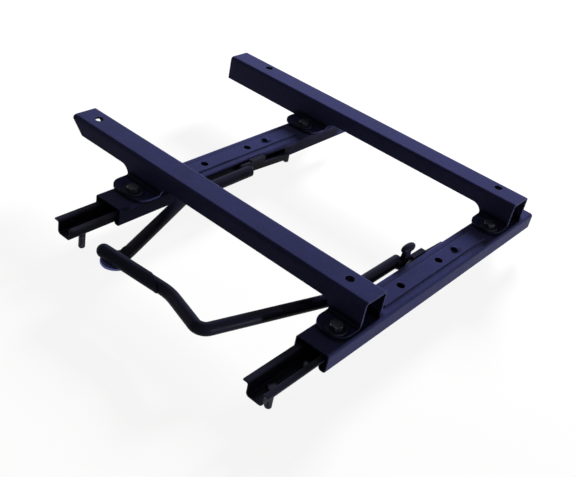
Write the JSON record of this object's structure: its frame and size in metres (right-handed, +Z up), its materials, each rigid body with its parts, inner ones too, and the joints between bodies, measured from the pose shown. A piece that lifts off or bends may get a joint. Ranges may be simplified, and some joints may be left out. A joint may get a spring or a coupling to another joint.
{
  "type": "seat slide rail",
  "caption": "Pair of ball-bearing slide rails under folded steel crossbars, with floor studs below and a lifting release bar that unlatches the seat so that it can slide.",
  "frame": {"origin": "middle of the four seat bolt holes, on the crossbars' tops", "axes": "+X along the crossbars towards the ends that lie over a rail, +Y along the rails to the rear, +Z up"},
  "size_m": [0.4986, 0.5232, 0.0835],
  "materials": {
    "paint": "satin",
    "tube_paint": "satin",
    "grip": "matte",
    "fastener_steel": "phosphated",
    "spring_steel": "satin",
    "bearing_steel": "polished",
    "retainer": "matte"
  },
  "bodies": {
    "seat_frame": {"front_crossbar": "paint", "rear_crossbar": "paint", "left_upper_rail": "paint", "right_upper_rail": "paint", "crossbar_bolts": "fastener_steel", "crossbar_washers": "paint", "crossbar_nuts": "fastener_steel", "left_pivot_pin": "fastener_steel", "right_pivot_pin": "fastener_steel", "left_return_spring": "spring_steel", "right_return_spring": "spring_steel"},
    "left_lower": {"left_lower_rail": "paint", "left_floor_studs": "fastener_steel", "left_stop_rivet": "fastener_steel"},
    "right_lower": {"right_lower_rail": "paint", "right_floor_studs": "fastener_steel", "right_stop_rivet": "fastener_steel"},
    "left_ball_cage": {"left_ball_retainers": "retainer", "left_balls": "bearing_steel"},
    "right_ball_cage": {"right_ball_retainers": "retainer", "right_balls": "bearing_steel"},
    "release_handle": {"release_bar": "tube_paint", "handle_grip": "grip", "left_arm": "tube_paint", "left_latch_lever": "tube_paint", "right_latch_lever": "tube_paint"}
  },
  "joints": [
    {"name": "left_slide", "type": "slide", "parent": "seat_frame", "child": "left_lower", "axis": [0, 1, 0], "range_m": [-0.06, 0.06]},
    {"name": "right_slide", "type": "slide", "parent": "seat_frame", "child": "right_lower", "axis": [0, 1, 0], "range_m": [-0.04, 0.08]},
    {"name": "left_ball_slide", "type": "slide", "parent": "seat_frame", "child": "left_ball_cage", "axis": [0, 1, 0], "range_m": [-0.03, 0.03]},
    {"name": "right_ball_slide", "type": "slide", "parent": "seat_frame", "child": "right_ball_cage", "axis": [0, 1, 0], "range_m": [-0.02, 0.04]},
    {"name": "release_lift", "type": "hinge", "parent": "seat_frame", "child": "release_handle", "pos_m": [0, -0.0263, -0.0455], "axis": [-1, 0, 0], "range_deg": [-3.6, 0], "deforming": ["left_return_spring", "right_return_spring"]}
  ],
  "couplings": [
    {"joint": "left_ball_slide", "follows": "left_slide", "ratio": 0.5},
    {"joint": "right_ball_slide", "follows": "right_slide", "ratio": 0.5}
  ]
}
